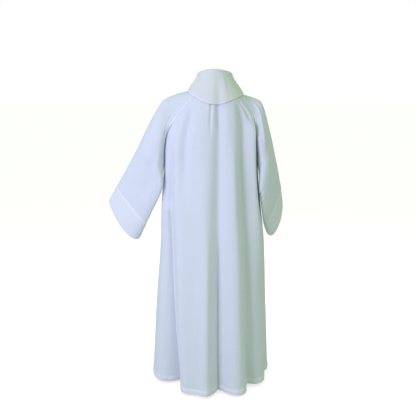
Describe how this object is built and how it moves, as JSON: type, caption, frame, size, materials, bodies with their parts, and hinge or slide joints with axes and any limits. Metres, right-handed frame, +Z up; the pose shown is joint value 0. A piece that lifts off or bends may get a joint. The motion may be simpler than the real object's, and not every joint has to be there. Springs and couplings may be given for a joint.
{
  "type": "raglan alb",
  "caption": "Long white raglan alb in its worn shape, with wide open sleeves, a deep turned-down collar and folds falling to a turned hem.",
  "frame": {"origin": "base of the neck, between the shoulders that hold the garment up", "axes": "+Z up along the garment's length; the wearer faces -Y and +X is the wearer's left"},
  "size_m": [0.8999, 0.5546, 1.5298],
  "materials": {
    "cloth": "matte twill",
    "collar_cloth": "matte twill"
  },
  "bodies": {
    "root": {"back": "cloth", "front": "cloth", "sleeve_left": "cloth", "sleeve_right": "cloth", "collar": "collar_cloth"}
  },
  "joints": []
}
